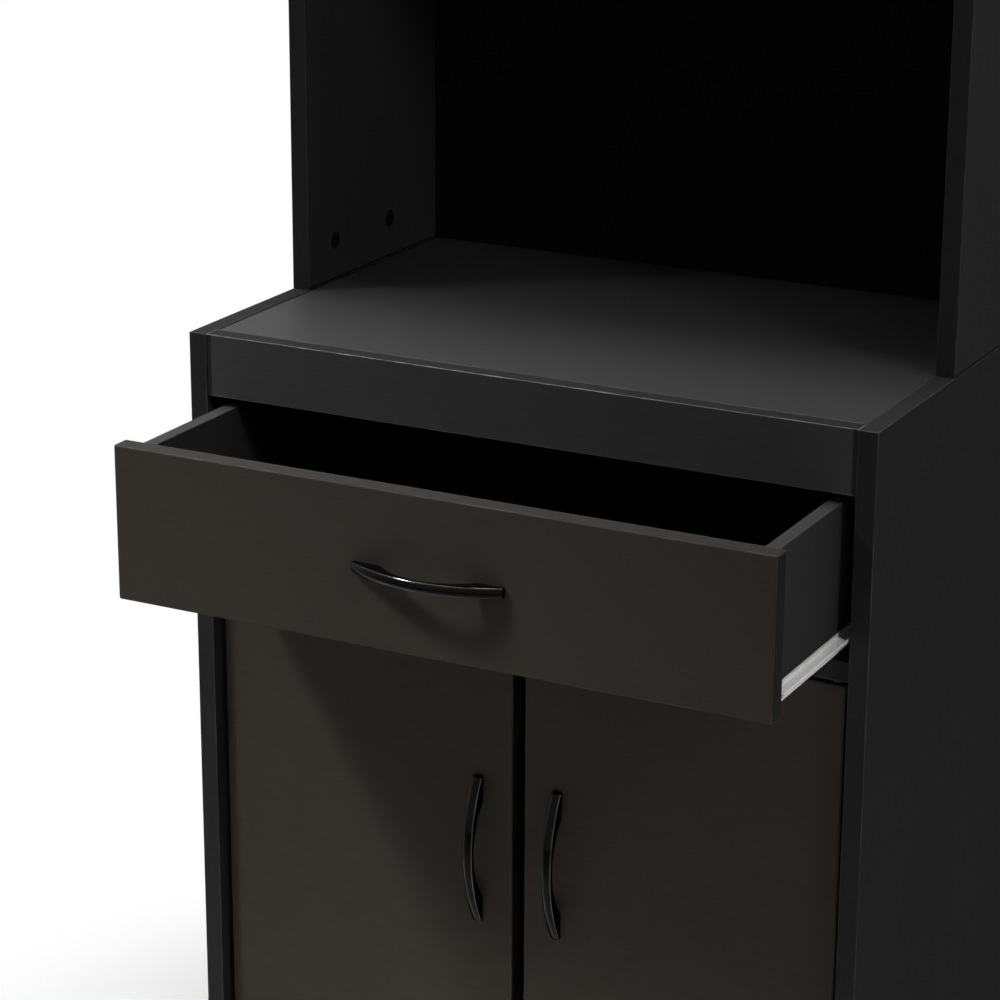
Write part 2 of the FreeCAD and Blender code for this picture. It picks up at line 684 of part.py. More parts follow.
fit_carcass()
fit_glides()
fit_hutch()
fit_drawer()
fit_slides()
for hand in (left, right):
    fit_door(hand)
    fit_catch(hand)
make_slides()
make_shelf()
make_carcass()
make_hutch()
handle_middle = Vector(0, drawer_front_y, (drawer_front_top + drawer_front_bottom) / 2)
make_handle("drawer_handle", handle_middle, False, "drawer_front")
make_drawer()
for hand in (left, right):
    make_door(hand)
for node, shapes in groups.items():
    save(node, shapes)
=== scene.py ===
import math
import bmesh
import bpy
from mathutils import Matrix, Vector


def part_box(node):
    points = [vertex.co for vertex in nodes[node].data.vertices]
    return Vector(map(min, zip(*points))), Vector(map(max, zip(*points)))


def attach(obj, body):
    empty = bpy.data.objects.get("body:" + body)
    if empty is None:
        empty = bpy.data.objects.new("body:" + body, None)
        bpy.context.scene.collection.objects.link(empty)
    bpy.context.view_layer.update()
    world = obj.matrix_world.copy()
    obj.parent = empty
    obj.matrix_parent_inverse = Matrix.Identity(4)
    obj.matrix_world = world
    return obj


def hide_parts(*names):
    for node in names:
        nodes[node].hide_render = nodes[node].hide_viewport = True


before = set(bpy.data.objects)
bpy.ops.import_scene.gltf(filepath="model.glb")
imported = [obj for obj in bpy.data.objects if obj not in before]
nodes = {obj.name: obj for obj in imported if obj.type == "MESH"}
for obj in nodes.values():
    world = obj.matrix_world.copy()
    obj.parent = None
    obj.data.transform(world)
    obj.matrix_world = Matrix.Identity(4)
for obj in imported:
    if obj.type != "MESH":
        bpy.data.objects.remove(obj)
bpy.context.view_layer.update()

# Looks of a microwave stand: two-door cupboard, drawer on roller slides, counter and open hutch.
# Metres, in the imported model's frame: X to the right, Y to the back, Z up.

scene = bpy.context.scene
scene.view_settings.view_transform = "Standard"
print("frame loaded:", len(nodes), "nodes")


# small helpers for building node trees

def plug(tree, socket, value):
    if isinstance(value, bpy.types.NodeSocket):
        tree.links.new(value, socket)
    else:
        socket.default_value = value


def addNode(tree, kind, settings=None, sockets=None):
    node = tree.nodes.new(kind)
    for key, value in (settings or {}).items():
        setattr(node, key, value)
    for key, value in (sockets or {}).items():
        plug(tree, node.inputs[key], value)
    return node


def calc(tree, operation, a, b=0.0, clamp=False):
    node = addNode(tree, "ShaderNodeMath", {"operation": operation, "use_clamp": clamp})
    for index, value in enumerate((a, b)):
        plug(tree, node.inputs[index], value)
    return node.outputs[0]


def ramp(tree, value, low, high, outLow=0.0, outHigh=1.0, smooth=True):
    node = addNode(tree, "ShaderNodeMapRange",
                   {"interpolation_type": "SMOOTHSTEP" if smooth else "LINEAR"},
                   {"Value": value, "From Min": low, "From Max": high, "To Min": outLow, "To Max": outHigh})
    return node.outputs["Result"]


def mixColour(tree, factor, a, b, blend="MIX"):
    node = addNode(tree, "ShaderNodeMix", {"data_type": "RGBA", "blend_type": blend})
    plug(tree, node.inputs["Factor"], factor)
    for socket, value in ((node.inputs[6], a), (node.inputs[7], b)):
        if isinstance(value, (tuple, list)) and len(value) == 3:
            value = (*value, 1.0)
        plug(tree, socket, value)
    return node.outputs[2]


def split(tree, vector):
    return addNode(tree, "ShaderNodeSeparateXYZ", None, {0: vector}).outputs


def noise(tree, place, recipe, stretch=None, shift=(0, 0, 0)):
    scale, detail, rough = recipe  # scale in cycles per metre
    mapping = addNode(tree, "ShaderNodeMapping", None,
                      {"Vector": place, "Location": shift, "Scale": stretch or (1, 1, 1)})
    node = addNode(tree, "ShaderNodeTexNoise", {"noise_dimensions": "3D"},
                   {"Vector": mapping.outputs[0], "Scale": scale, "Detail": detail, "Roughness": rough})
    return node.outputs["Fac"]


def squareOn(tree, slope):
    # 1 where the surface squarely faces that way, 0 from the rounded edge on
    return ramp(tree, slope, 0.80, 0.97)


def newFinish(name):
    finish = bpy.data.materials.new(name)
    finish.use_nodes = True
    tree = finish.node_tree
    tree.nodes.clear()
    shader = tree.nodes.new("ShaderNodeBsdfPrincipled")
    output = tree.nodes.new("ShaderNodeOutputMaterial")
    tree.links.new(shader.outputs[0], output.inputs[0])
    return finish, tree, shader


def addBump(tree, shader, strength, distance, height):
    bump = addNode(tree, "ShaderNodeBump", None,
                   {"Strength": strength, "Distance": distance, "Height": height})
    plug(tree, shader.inputs["Normal"], bump.outputs[0])


def paint(nodeName, finish):
    mesh = nodes[nodeName].data
    mesh.materials.clear()
    mesh.materials.append(finish)


# laminated boards: big faces in foil, long edges in edge band, hidden rear edges raw chipboard
# dark and light: the foil's two tones; matt: roughness; shine: specular level; edge: the band's colour;
# endShade: how far the end faces darken; then the width and colour of a painted highlight along the outermost
# corners;
# then the width and depth of a painted shade line at a joint

laminates = {
    "carcass": {"dark": (0.0165, 0.0165, 0.0168), "light": (0.0225, 0.0225, 0.0228), "matt": 0.86,
                "shine": 0.03, "edge": (0.0205, 0.0205, 0.0208), "endShade": 0.0, "pearl": 0.05,
                "highlightWidth": 0.0011, "highlightColour": (0.120, 0.120, 0.120), "shadeWidth": 0.0, "shadeDepth": 0.0},
    "hutch": {"dark": (0.0225, 0.0225, 0.0229), "light": (0.0300, 0.0300, 0.0304), "matt": 0.86,
              "shine": 0.03, "edge": (0.0225, 0.0225, 0.0229), "endShade": 0.0, "pearl": 0.05,
              "highlightWidth": 0.0010, "highlightColour": (0.100, 0.100, 0.100), "shadeWidth": 0.0026, "shadeDepth": 0.80},
    # the apron is a lighter copy of the carcass laminate: painted light on the front rail
    "apron": {"dark": (0.0440, 0.0440, 0.0447), "light": (0.0570, 0.0570, 0.0577), "matt": 0.86,
              "shine": 0.03, "edge": (0.0170, 0.0170, 0.0173), "endShade": 0.0, "pearl": 0.05,
              "highlightWidth": 0.0012, "highlightColour": (0.360, 0.360, 0.360), "shadeWidth": 0.0048, "shadeDepth": 0.62},
    "counter": {"dark": (0.0235, 0.0235, 0.0242), "light": (0.0305, 0.0305, 0.0313), "matt": 0.58,
                "shine": 0.10, "edge": (0.0290, 0.0290, 0.0295), "endShade": 0.0, "pearl": 0.05,
                "highlightWidth": 0.0007, "highlightColour": (0.070, 0.070, 0.070), "shadeWidth": 0.0027, "shadeDepth": 0.94},
    "front": {"dark": (0.0325, 0.0276, 0.0230), "light": (0.0418, 0.0360, 0.0302), "matt": 0.74,
              "shine": 0.05, "edge": (0.0245, 0.0222, 0.0200), "endShade": 0.72, "pearl": 0.06,
              "highlightWidth": 0.0013, "highlightColour": (0.190, 0.176, 0.160), "shadeWidth": 0.0, "shadeDepth": 0.0},
    "drawer": {"dark": (0.0215, 0.0215, 0.0219), "light": (0.0285, 0.0285, 0.0289), "matt": 0.74,
               "shine": 0.05, "edge": (0.0330, 0.0330, 0.0335), "endShade": 0.0, "pearl": 0.04,
               "highlightWidth": 0.0007, "highlightColour": (0.090, 0.090, 0.090), "shadeWidth": 0.0, "shadeDepth": 0.0},
}
boards = {  # node: laminate, thin axis, grain axis, raw faces as (axis, side)
    "side_left": ("carcass", 0, 2, [(1, 1), (2, -1)]),
    "side_right": ("carcass", 0, 2, [(1, 1), (2, -1)]),
    "counter_top": ("counter", 2, 0, [(1, 1), (1, -1)]),
    "front_apron": ("apron", 1, 0, [(2, -1)]),
    "divider_shelf": ("carcass", 2, 0, [(1, 1)]),
    "cupboard_shelf": ("carcass", 2, 0, [(1, 1)]),
    "bottom_panel": ("carcass", 2, 0, [(1, 1)]),
    "plinth_board": ("carcass", 1, 0, [(2, -1), (2, 1)]),
    "hutch_side_left": ("hutch", 0, 2, [(1, 1)]),
    "hutch_side_right": ("hutch", 0, 2, [(1, 1)]),
    "hutch_top": ("hutch", 2, 0, [(1, 1)]),
    "drawer_front": ("front", 1, 0, []),
    "door_left": ("front", 1, 0, []),
    "door_right": ("front", 1, 0, []),
    "drawer_side_left": ("drawer", 0, 1, [(2, -1)]),
    "drawer_side_right": ("drawer", 0, 1, [(2, -1)]),
    "drawer_back": ("drawer", 1, 0, [(2, -1)]),
}
foil = {"grain": (900.0, 4.0, 0.65), "grainStretch": 0.035, "grainShare": 0.55, "grainDepth": 0.06,
        "cloud": (7.0, 2.0, 0.5), "fleck": (2600.0, 2.0, 0.6), "shiftPerMetre": 3.1,
        "bump": 0.35, "bumpDistance": 0.0004}
edgeBand = {"tone": (400.0, 3.0, 0.6), "toneRange": (0.9, 1.1), "endColour": (0.002, 0.002, 0.002),
            "thickness": 0.0009, "glue": (0.006, 0.006, 0.006), "glueWidth": 0.00016, "glueShare": 0.7,
            "glueDepth": 0.35}
# painted highlight along the corners: its uneven patches, its least share, where it ends and how strong it is
arrisHighlight = {"patches": (45.0, 4.0, 0.6), "least": 0.35, "sharp": 0.00010, "share": 0.6}
# painted shade in a joint: its colour, and where it starts to fade out
paintedJointShade = {"colour": (0.001, 0.001, 0.001), "softFrom": 0.75}
chipboard = {"dark": (0.16, 0.105, 0.06), "pale": (0.42, 0.31, 0.20), "gap": (0.07, 0.045, 0.028),
             "chips": 420.0, "gaps": (900.0, 3.0, 0.7), "matt": 0.4, "depth": 0.8}


def bandColour(tree, place, facing, grain, look):
    # the band's tone wanders a little, and its end faces can be darker
    tone = ramp(tree, noise(tree, place, edgeBand["tone"]), 0.25, 0.75, *edgeBand["toneRange"])
    grey = addNode(tree, "ShaderNodeCombineXYZ", None, {0: tone, 1: tone, 2: tone}).outputs[0]
    colour = mixColour(tree, 1.0, look["edge"], grey, "MULTIPLY")
    onEnd = squareOn(tree, calc(tree, "ABSOLUTE", facing[grain]))
    return mixColour(tree, calc(tree, "MULTIPLY", onEnd, look["endShade"]), colour, edgeBand["endColour"])


def cornerHighlight(tree, place, away, width):
    # painted highlight along the outermost corners, uneven in patches: the second nearest face is very close
    # there
    total = calc(tree, "ADD", calc(tree, "ADD", away[0], away[1]), away[2])
    nearest = calc(tree, "MINIMUM", calc(tree, "MINIMUM", away[0], away[1]), away[2])
    farthest = calc(tree, "MAXIMUM", calc(tree, "MAXIMUM", away[0], away[1]), away[2])
    second = calc(tree, "SUBTRACT", calc(tree, "SUBTRACT", total, nearest), farthest)
    patches = ramp(tree, noise(tree, place, arrisHighlight["patches"]), 0.40, 0.70, arrisHighlight["least"], 1.0)
    highlighted = calc(tree, "MULTIPLY", ramp(tree, second, arrisHighlight["sharp"], width, 1.0, 0.0), patches)
    return calc(tree, "MULTIPLY", highlighted, arrisHighlight["share"])


def boardFinish(name, kind, thin, grain, rawFaces):
    look = laminates[kind]
    finish, tree, shader = newFinish(name + "Laminate")
    coords = tree.nodes.new("ShaderNodeTexCoord")
    place = coords.outputs["Object"]
    placeXyz = split(tree, place)
    facing = split(tree, coords.outputs["Normal"])
    onFace = squareOn(tree, calc(tree, "ABSOLUTE", facing[thin]))
    low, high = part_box(name)
    away = [calc(tree, "MINIMUM", calc(tree, "SUBTRACT", placeXyz[axis], low[axis]),
                 calc(tree, "SUBTRACT", high[axis], placeXyz[axis])) for axis in range(3)]

    # fine grain lines and broad unevenness of the printed foil
    stretch = [1.0, 1.0, 1.0]
    stretch[grain] = foil["grainStretch"]
    shift = tuple(round(c * foil["shiftPerMetre"], 3) for c in low)
    lines = noise(tree, place, foil["grain"], stretch, shift)
    cloud = noise(tree, place, foil["cloud"], None, shift)
    tone = calc(tree, "ADD", calc(tree, "MULTIPLY", ramp(tree, lines, 0.3, 0.7), foil["grainShare"]),
                calc(tree, "MULTIPLY", cloud, 1 - foil["grainShare"]))
    colour = mixColour(tree, tone, look["dark"], look["light"])
    colour = mixColour(tree, onFace, bandColour(tree, place, facing, grain, look), colour)

    # glue line of the edge band, seen from the big faces
    across = [away[axis] for axis in range(3) if axis != thin]
    toEdge = calc(tree, "MINIMUM", across[0], across[1])
    offGlue = calc(tree, "ABSOLUTE", calc(tree, "SUBTRACT", toEdge, edgeBand["thickness"]))
    glue = calc(tree, "MULTIPLY", ramp(tree, offGlue, 0.0, edgeBand["glueWidth"], 1.0, 0.0), onFace)
    colour = mixColour(tree, calc(tree, "MULTIPLY", glue, edgeBand["glueShare"]), colour, edgeBand["glue"])
    # painted highlight along the outermost corners of the board
    colour = mixColour(tree, cornerHighlight(tree, place, away, look["highlightWidth"]), colour, look["highlightColour"])

    # painted shade where the board butts against its neighbours: a painted shadow strip at both ends of the
    # apron, and a thin painted shade line at the counter's left end and at the hutch sides' feet
    jointShade = 0.0
    if look["shadeWidth"] > 0 and name != "hutch_top":
        toShadedEdge = away[grain] if kind == "apron" else calc(tree, "SUBTRACT", placeXyz[grain], low[grain])
        inShade = ramp(tree, toShadedEdge, look["shadeWidth"] * paintedJointShade["softFrom"], look["shadeWidth"], 1.0, 0.0)
        jointShade = calc(tree, "MULTIPLY", calc(tree, "MULTIPLY", inShade, onFace), look["shadeDepth"])
        colour = mixColour(tree, jointShade, colour, paintedJointShade["colour"])

    fleck = noise(tree, place, foil["fleck"])
    height = calc(tree, "ADD", calc(tree, "MULTIPLY", fleck, look["pearl"]),
                  calc(tree, "MULTIPLY", lines, foil["grainDepth"]))
    height = calc(tree, "SUBTRACT", height, calc(tree, "MULTIPLY", glue, edgeBand["glueDepth"]))
    rough = ramp(tree, cloud, 0.2, 0.8, look["matt"] - 0.04, look["matt"] + 0.05)

    # raw chipboard where no band was glued on
    raw = None
    for axis, side in rawFaces:
        here = squareOn(tree, calc(tree, "MULTIPLY", facing[axis], float(side)))
        raw = here if raw is None else calc(tree, "MAXIMUM", raw, here)
    if raw is not None:
        chips = addNode(tree, "ShaderNodeTexVoronoi", {"feature": "F1"},
                        {"Vector": place, "Scale": chipboard["chips"], "Randomness": 1.0})
        chipTone = split(tree, chips.outputs["Color"])[0]
        chipColour = mixColour(tree, chipTone, chipboard["dark"], chipboard["pale"])
        gaps = ramp(tree, noise(tree, place, chipboard["gaps"]), 0.55, 0.7)
        chipColour = mixColour(tree, gaps, chipColour, chipboard["gap"])
        colour = mixColour(tree, raw, colour, chipColour)
        rough = calc(tree, "ADD", rough, calc(tree, "MULTIPLY", raw, chipboard["matt"]), clamp=True)
        chipHeight = calc(tree, "MULTIPLY", chipTone, chipboard["depth"])
        height = calc(tree, "ADD", height, calc(tree, "MULTIPLY", raw, chipHeight))

    plug(tree, shader.inputs["Base Color"], colour)
    plug(tree, shader.inputs["Roughness"], rough)
    addBump(tree, shader, foil["bump"], foil["bumpDistance"], height)
    shader.inputs["Specular IOR Level"].default_value = look["shine"]
    if kind == "counter":  # the painted shade line in this joint also loses its gloss, so it stays dark
        plug(tree, shader.inputs["Metallic"], jointShade)
        plug(tree, shader.inputs["Specular Tint"], mixColour(tree, jointShade, (1.0, 1.0, 1.0), (0.0, 0.0, 0.0)))
    return finish


for nodeName, (kind, thin, grain, rawFaces) in boards.items():
    paint(nodeName, boardFinish(nodeName, kind, thin, grain, rawFaces))
print("boards painted:", len(boards))


# hardboard: smooth dark printed face to the front or top, brown screened face behind

hardboard = {"face": (0.0060, 0.0060, 0.0063), "facePatch": 1.35, "patches": (9.0, 3.0, 0.5),
             "back": (0.17, 0.098, 0.052), "fibre": (0.10, 0.055, 0.028), "fibres": (260.0, 6.0, 0.7),
             "fibreStretch": (1.0, 1.0, 0.35), "fibreDepth": 0.3, "faceMatt": 0.82, "backMatt": 0.85,
             "shine": 0.04, "wires": 520.0 / 3.1, "bump": 0.3, "bumpDistance": 0.0004}
# node: axis and side of the printed face
hardboards = {"lower_back_panel": (1, -1), "hutch_back_panel": (1, -1), "drawer_bottom": (2, 1)}


def hardboardFinish(name, axis, side):
    finish, tree, shader = newFinish(name + "Hardboard")
    coords = tree.nodes.new("ShaderNodeTexCoord")
    place = coords.outputs["Object"]
    facing = split(tree, coords.outputs["Normal"])
    printed = ramp(tree, calc(tree, "MULTIPLY", facing[axis], float(side)), 0.5, 0.9)
    fibres = noise(tree, place, hardboard["fibres"], hardboard["fibreStretch"])
    brown = mixColour(tree, ramp(tree, fibres, 0.35, 0.7), hardboard["back"], hardboard["fibre"])
    dark = mixColour(tree, noise(tree, place, hardboard["patches"]), hardboard["face"],
                     tuple(c * hardboard["facePatch"] for c in hardboard["face"]))
    plug(tree, shader.inputs["Base Color"], mixColour(tree, printed, brown, dark))
    plug(tree, shader.inputs["Roughness"],
         ramp(tree, printed, 0.0, 1.0, hardboard["backMatt"], hardboard["faceMatt"], False))
    shader.inputs["Specular IOR Level"].default_value = hardboard["shine"]
    # the screened back has a fine woven wire print
    wires = [addNode(tree, "ShaderNodeTexWave", {"wave_type": "BANDS", "bands_direction": way},
                     {"Vector": place, "Scale": hardboard["wires"]}).outputs["Fac"] for way in ("X", "Z")]
    screen = calc(tree, "MULTIPLY", calc(tree, "MULTIPLY", wires[0], wires[1]),
                  calc(tree, "SUBTRACT", 1.0, printed))
    height = calc(tree, "ADD", screen, calc(tree, "MULTIPLY", fibres, hardboard["fibreDepth"]))
    addBump(tree, shader, hardboard["bump"], hardboard["bumpDistance"], height)
    return finish


for nodeName, (axis, side) in hardboards.items():
    paint(nodeName, hardboardFinish(nodeName, axis, side))
print("hardboard painted:", len(hardboards))


# metals and plastics: mottle is how far the tone wanders, blotches and texture are sizes per metre

plainFinishes = {
    "whiteEnamel": {"colour": (0.92, 0.92, 0.91), "metal": 0.0, "matt": 0.26, "shine": 0.5, "coat": 0.5,
                    "texture": 700.0, "depth": 0.2, "mottle": 0.03, "blotches": 40.0,
                    "pieces": ["rail_left", "rail_right", "runner_left", "runner_right"]},
    "whiteNylon": {"colour": (0.66, 0.65, 0.61), "metal": 0.0, "matt": 0.48, "shine": 0.45, "coat": 0.0,
                   "texture": 500.0, "depth": 0.2, "mottle": 0.05, "blotches": 120.0,
                   "pieces": ["rail_roller_left", "rail_roller_right", "runner_roller_left",
                              "runner_roller_right"]},
    "darkPlastic": {"colour": (0.012, 0.012, 0.013), "metal": 0.0, "matt": 0.52, "shine": 0.12, "coat": 0.0,
                    "texture": 1500.0, "depth": 0.3, "mottle": 0.15, "blotches": 150.0,
                    "pieces": ["floor_glides", "shelf_pins", "door_catches", "pivot_bushes",
                               "pivot_washer_left", "pivot_washer_right"]},
    "zincPlate": {"colour": (0.52, 0.53, 0.54), "metal": 1.0, "matt": 0.30, "shine": 0.5, "coat": 0.0,
                  "texture": 900.0, "depth": 0.2, "mottle": 0.12, "blotches": 500.0,
                  "pieces": ["cam_bolts", "drawer_cam_bolts", "back_nails", "rail_screws", "runner_screws",
                             "catch_screws", "drawer_back_screws", "drawer_handle_screws",
                             "door_handle_screws_left", "door_handle_screws_right", "pivot_pins_left",
                             "pivot_pins_right", "strike_plate_left", "strike_plate_right",
                             "strike_rivet_left", "strike_rivet_right"]},
    "blackZinc": {"colour": (0.009, 0.009, 0.010), "metal": 0.6, "matt": 0.50, "shine": 0.15, "coat": 0.0,
                  "texture": 900.0, "depth": 0.3, "mottle": 0.2, "blotches": 400.0,
                  "pieces": ["cam_locks", "drawer_cam_locks"]},
    "beechDowel": {"colour": (0.52, 0.36, 0.21), "metal": 0.0, "matt": 0.62, "shine": 0.35, "coat": 0.0,
                   "texture": 500.0, "depth": 0.4, "mottle": 0.15, "blotches": 300.0,
                   "stretch": (1.0, 0.08, 1.0), "pieces": ["dowels", "drawer_dowels"]},
}


def plainFinish(name, look):
    finish, tree, shader = newFinish(name)
    place = tree.nodes.new("ShaderNodeTexCoord").outputs["Object"]
    cloud = noise(tree, place, (look["blotches"], 3.0, 0.55))
    fine = noise(tree, place, (look["texture"], 3.0, 0.6), look.get("stretch"))
    low = tuple(c * (1 - look["mottle"]) for c in look["colour"])
    high = tuple(min(1.0, c * (1 + look["mottle"])) for c in look["colour"])
    plug(tree, shader.inputs["Base Color"], mixColour(tree, cloud, low, high))
    plug(tree, shader.inputs["Roughness"],
         ramp(tree, fine, 0.2, 0.8, look["matt"] - 0.05, look["matt"] + 0.06))
    addBump(tree, shader, look["depth"], 0.0002, fine)
    shader.inputs["Metallic"].default_value = look["metal"]
    shader.inputs["Specular IOR Level"].default_value = look["shine"]
    shader.inputs["Coat Weight"].default_value = look["coat"]
    return finish


for finishName, look in plainFinishes.items():
    finish = plainFinish(finishName, look)
    for nodeName in look["pieces"]:
        paint(nodeName, finish)
print("metals and plastics painted:", len(plainFinishes))


# handles: black nickel with a painted highlight along the two rounded shoulders of the bar, uneven in patches

plating = {"body": (0.0055, 0.0055, 0.0059), "shoulderHighlight": (0.070, 0.070, 0.073), "matt": 0.09,
           "highlightFrom": (0.38, 0.72), "highlightTo": (0.86, 0.98), "patches": (55.0, 3.0, 0.5), "least": 0.45,
           "texture": (1400.0, 3.0, 0.6)}


def handleFinish(name, across):
    finish, tree, shader = newFinish(name)
    coords = tree.nodes.new("ShaderNodeTexCoord")
    place = coords.outputs["Object"]
    turned = calc(tree, "ABSOLUTE", split(tree, coords.outputs["Normal"])[across])
    # painted highlight: a paler colour on the two rounded shoulders of the bar
    pale = calc(tree, "MULTIPLY", ramp(tree, turned, *plating["highlightFrom"]),
                ramp(tree, turned, *plating["highlightTo"], 1.0, 0.0))
    patches = ramp(tree, noise(tree, place, plating["patches"]), 0.30, 0.70, plating["least"], 1.0)
    plug(tree, shader.inputs["Base Color"],
         mixColour(tree, calc(tree, "MULTIPLY", pale, patches), plating["body"], plating["shoulderHighlight"]))
    fine = noise(tree, place, plating["texture"])
    plug(tree, shader.inputs["Roughness"],
         ramp(tree, fine, 0.2, 0.8, plating["matt"] - 0.03, plating["matt"] + 0.04))
    shader.inputs["Metallic"].default_value = 1.0
    return finish


levelPlating = handleFinish("levelPlating", 2)
uprightPlating = handleFinish("uprightPlating", 0)
paint("drawer_handle", levelPlating)
paint("door_handle_left", uprightPlating)
paint("door_handle_right", uprightPlating)


# bow handles: a D-section bar bent to an arc, with flat-backed feet

bowShape = {"length": 0.130, "reach": 0.022, "thickness": 0.0055, "foot": 0.023, "tip": 0.0040,
            "leastThickness": 0.001, "stations": 121, "endRounding": 0.0009}
bowSection = {  # millimetres: height, then depth below the crown (outside) or above the back (inside)
    "outside": [(-4.25, 2.5), (-4.22, 1.95), (-4.05, 1.5), (-3.65, 1.12), (-2.6, 0.62), (-1.5, 0.22),
                (-0.8, 0.04), (0.0, 0.0), (0.8, 0.04), (1.5, 0.22), (2.6, 0.62), (3.65, 1.12), (4.05, 1.5),
                (4.22, 1.95), (4.25, 2.5)],
    "inside": [(4.25, 1.2), (4.16, 0.74), (3.9, 0.35), (3.51, 0.09), (3.05, 0.0), (1.5, 0.0), (-1.5, 0.0),
               (-3.05, 0.0), (-3.51, 0.09), (-3.9, 0.35), (-4.16, 0.74), (-4.25, 1.2)]}
bowHandles = {  # CAD node: upright, body, name of the piece
    "drawer_handle": (False, "drawer", "drawerBow"),
    "door_handle_left": (True, "door_left", "leftDoorBow"),
    "door_handle_right": (True, "door_right", "rightDoorBow")}


def arcDepth(x, halfChord, sagitta):
    radius = (halfChord ** 2 + sagitta ** 2) / (2 * sagitta)
    return sagitta - (radius - math.sqrt(max(radius ** 2 - x ** 2, 0.0)))


def bowRing(mesh, x, shape):
    half = shape["length"] / 2
    finger = half - shape["foot"]
    crown = shape["tip"] + arcDepth(x, half, shape["reach"] - shape["tip"])
    inner = arcDepth(x, finger, shape["reach"] - shape["thickness"]) if abs(x) < finger else 0.0
    # the ends are softened over their last millimetre
    left = min(1.0, (half - abs(x)) / shape["endRounding"])
    pull = shape["endRounding"] * (1 - math.sqrt(max(0.0, 1 - (1 - left) ** 2)))
    ring = []
    for side, points in bowSection.items():
        for height, depth in points:
            z = height / 1000 - math.copysign(min(pull, abs(height) / 1000), height)
            if side == "outside":
                y = -max(inner, crown - depth / 1000 - pull)
            else:
                y = -min(inner + depth / 1000, crown - shape["leastThickness"])
            ring.append(mesh.verts.new((x, y, z)))
    return ring


def bowHandle(name, middle, upright, body, cadNode):
    last = bowShape["stations"] - 1
    mesh = bmesh.new()
    rings = [bowRing(mesh, -math.cos(math.pi * i / last) * bowShape["length"] / 2, bowShape)
             for i in range(bowShape["stations"])]
    count = len(rings[0])
    for a, b in zip(rings, rings[1:]):
        for k in range(count):
            mesh.faces.new((a[k], a[(k + 1) % count], b[(k + 1) % count], b[k]))
    mesh.faces.new(rings[0][::-1])
    mesh.faces.new(rings[-1])
    bmesh.ops.recalc_face_normals(mesh, faces=mesh.faces)
    data = bpy.data.meshes.new(name)
    mesh.to_mesh(data)
    mesh.free()
    for face in data.polygons:
        face.use_smooth = len(face.vertices) == 4
    if upright:
        data.transform(Matrix.Rotation(math.radians(90), 4, "Y"))
    data.transform(Matrix.Translation(middle))
    data.update()
    piece = bpy.data.objects.new(name, data)
    scene.collection.objects.link(piece)
    data.materials.append(uprightPlating if upright else levelPlating)
    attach(piece, body)
    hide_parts(cadNode)


for cadNode, (upright, body, pieceName) in bowHandles.items():
    low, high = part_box(cadNode)
    seat = Vector(((low.x + high.x) / 2, high.y, (low.z + high.z) / 2))
    bowHandle(pieceName, seat, upright, body, cadNode)
print("handles made:", len(bowHandles))


# floor: melts into the white backdrop a short way from the stand, farther out for reflections

floorSheet = {"radius": 9.0, "segments": 96, "drop": 0.0002, "dark": (0.85, 0.85, 0.85),
              "pale": (0.87, 0.87, 0.87), "speck": (30.0, 3.0, 0.5), "matt": 0.9, "shine": 0.1,
              "whiteFrom": 0.36, "whiteTo": 0.76, "mirrorFrom": 2.2, "mirrorTo": 5.0}


def makeFloor():
    mesh = bpy.data.meshes.new("floorSheet")
    grid = bmesh.new()
    bmesh.ops.create_circle(grid, cap_ends=True, segments=floorSheet["segments"], radius=floorSheet["radius"])
    grid.to_mesh(mesh)
    grid.free()
    floor = bpy.data.objects.new("floorSheet", mesh)
    floor.location = (0, 0, -floorSheet["drop"])
    scene.collection.objects.link(floor)
    finish, tree, shader = newFinish("paleFloor")
    place = tree.nodes.new("ShaderNodeTexCoord").outputs["Object"]
    speck = noise(tree, place, floorSheet["speck"])
    plug(tree, shader.inputs["Base Color"], mixColour(tree, speck, floorSheet["dark"], floorSheet["pale"]))
    shader.inputs["Roughness"].default_value = floorSheet["matt"]
    shader.inputs["Specular IOR Level"].default_value = floorSheet["shine"]
    outward = addNode(tree, "ShaderNodeVectorMath", {"operation": "LENGTH"}, {0: place}).outputs["Value"]
    nearGlow = ramp(tree, outward, floorSheet["whiteFrom"], floorSheet["whiteTo"])
    farGlow = ramp(tree, outward, floorSheet["mirrorFrom"], floorSheet["mirrorTo"])
    path = tree.nodes.new("ShaderNodeLightPath").outputs
    mirrored = calc(tree, "MAXIMUM", path["Is Glossy Ray"], path["Is Transmission Ray"])
    share = calc(tree, "MAXIMUM", calc(tree, "MULTIPLY", nearGlow, path["Is Camera Ray"]),
                 calc(tree, "MULTIPLY", farGlow, mirrored))
    glow = addNode(tree, "ShaderNodeEmission", None, {"Color": (1, 1, 1, 1), "Strength": 1.0})
    blend = addNode(tree, "ShaderNodeMixShader", None, {0: share, 1: shader.outputs[0], 2: glow.outputs[0]})
    output = next(n for n in tree.nodes if n.type == "OUTPUT_MATERIAL")
    tree.links.new(blend.outputs[0], output.inputs[0])
    mesh.materials.append(finish)


makeFloor()


# world: white to the eye and in reflections, a faint fill for everything else

studioAir = {"fill": 0.01, "white": 1.0}


def makeWorld():
    world = bpy.data.worlds.new("studioAir")
    scene.world = world
    world.use_nodes = True
    tree = world.node_tree
    tree.nodes.clear()
    path = tree.nodes.new("ShaderNodeLightPath").outputs
    seen = calc(tree, "MAXIMUM", path["Is Camera Ray"], path["Is Glossy Ray"])
    seen = calc(tree, "MAXIMUM", seen, path["Is Transmission Ray"])
    soft, white = (addNode(tree, "ShaderNodeBackground", None,
                           {"Color": (1, 1, 1, 1), "Strength": studioAir[key]}) for key in ("fill", "white"))
    blend = addNode(tree, "ShaderNodeMixShader", None, {0: seen, 1: soft.outputs[0], 2: white.outputs[0]})
    output = tree.nodes.new("ShaderNodeOutputWorld")
    tree.links.new(blend.outputs[0], output.inputs[0])


makeWorld()
print("floor and world made")


# lamps: rectangular soft boxes, beam in degrees

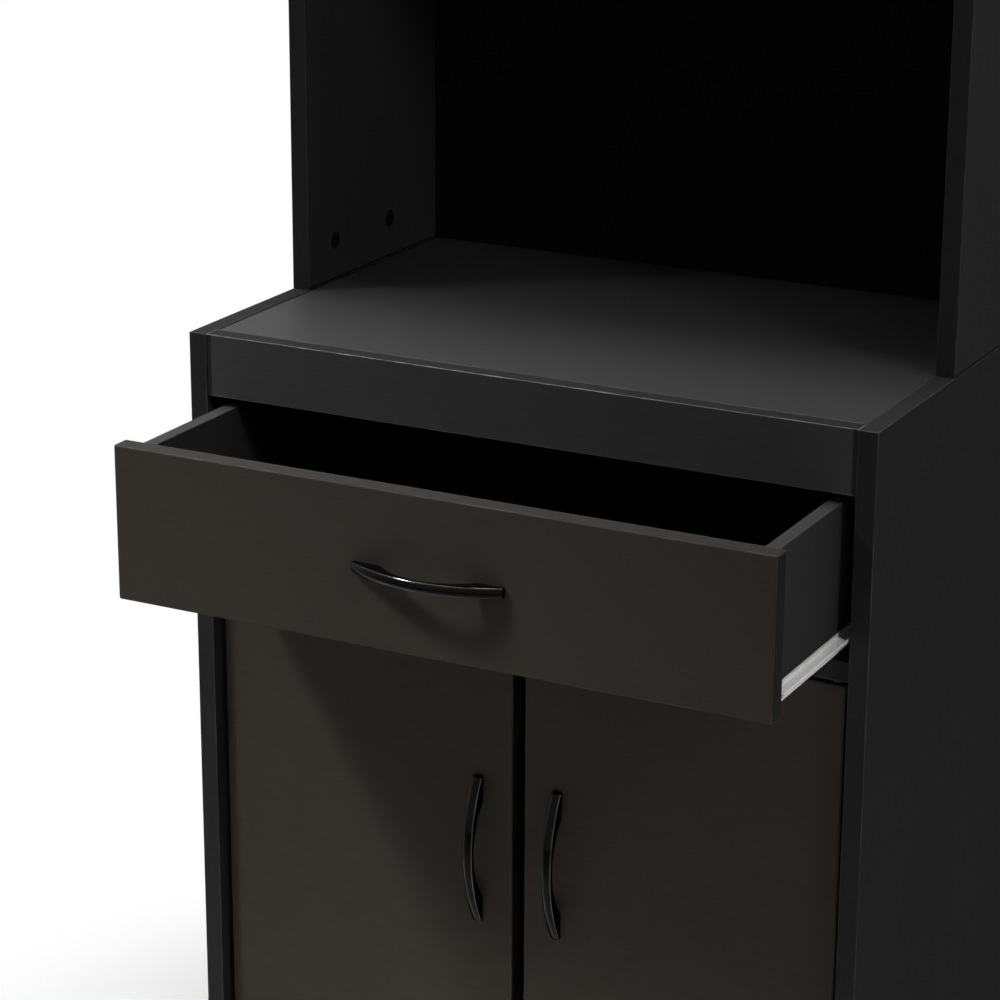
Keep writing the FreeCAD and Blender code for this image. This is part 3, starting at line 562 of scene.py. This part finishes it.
lamps = {
    "topBox": {"place": (0, 0.15, 3.3), "aim": (0, -0.1, 0.4), "size": (0.8, 0.8),
               "watts": 46.0, "beam": 180},
    "leftBox": {"place": (-2.37, 0.59, 2.37), "aim": (0, -0.05, 0.65), "size": (0.9, 1.1),
                "watts": 20.0, "beam": 180},
    "highLeftBox": {"place": (-1.22, 0.28, 3.37), "aim": (0, -0.05, 0.65), "size": (0.9, 1.1),
                    "watts": 13.0, "beam": 180},
    "keyBox": {"place": (-2.27, -1.557, 3.614), "aim": (-0.05, -0.35, 0.15), "size": (0.6, 0.6),
               "watts": 4.4, "beam": 22},
    "rightBox": {"place": (2.28, -0.97, 2.37), "aim": (0, -0.05, 0.65), "size": (0.5, 0.8),
                 "watts": 21.0, "beam": 180},
}


def makeLamp(name, softBox):
    light = bpy.data.lights.new(name, "AREA")
    light.shape = "RECTANGLE"
    light.size, light.size_y = softBox["size"]
    light.energy = softBox["watts"]
    light.spread = math.radians(softBox["beam"])
    lamp = bpy.data.objects.new(name, light)
    lamp.location = softBox["place"]
    towards = Vector(softBox["aim"]) - Vector(softBox["place"])
    lamp.rotation_euler = towards.to_track_quat("-Z", "Y").to_euler()
    scene.collection.objects.link(lamp)


for lampName, softBox in lamps.items():
    makeLamp(lampName, softBox)
print("lamps made:", len(lamps))


# camera: angles in degrees, seen from the front right and a little above

view = {"place": (1.05935, -2.17561, 1.44064), "azimuth": 27.53, "elevation": 18.16, "roll": 0.22,
        "focalPixels": 3102.0, "framePixels": 1000.0, "sensor": 36.0, "farthest": 60.0}


def makeCamera():
    azimuth, elevation, roll = (math.radians(view[k]) for k in ("azimuth", "elevation", "roll"))
    back = Vector((math.sin(azimuth) * math.cos(elevation), -math.cos(azimuth) * math.cos(elevation),
                   math.sin(elevation)))
    right = Vector((math.cos(azimuth), math.sin(azimuth), 0.0))
    upward = back.cross(right)
    turnedRight = right * math.cos(roll) + upward * math.sin(roll)
    turnedUp = upward * math.cos(roll) - right * math.sin(roll)
    lens = bpy.data.cameras.new("studioCamera")
    lens.sensor_fit = "HORIZONTAL"
    lens.sensor_width = view["sensor"]
    lens.lens = view["focalPixels"] / view["framePixels"] * view["sensor"]
    lens.clip_end = view["farthest"]
    camera = bpy.data.objects.new("studioCamera", lens)
    camera.matrix_world = Matrix.Translation(view["place"]) @ Matrix(
        (turnedRight, turnedUp, back)).transposed().to_4x4()
    scene.collection.objects.link(camera)
    scene.camera = camera


makeCamera()
print("camera ready")
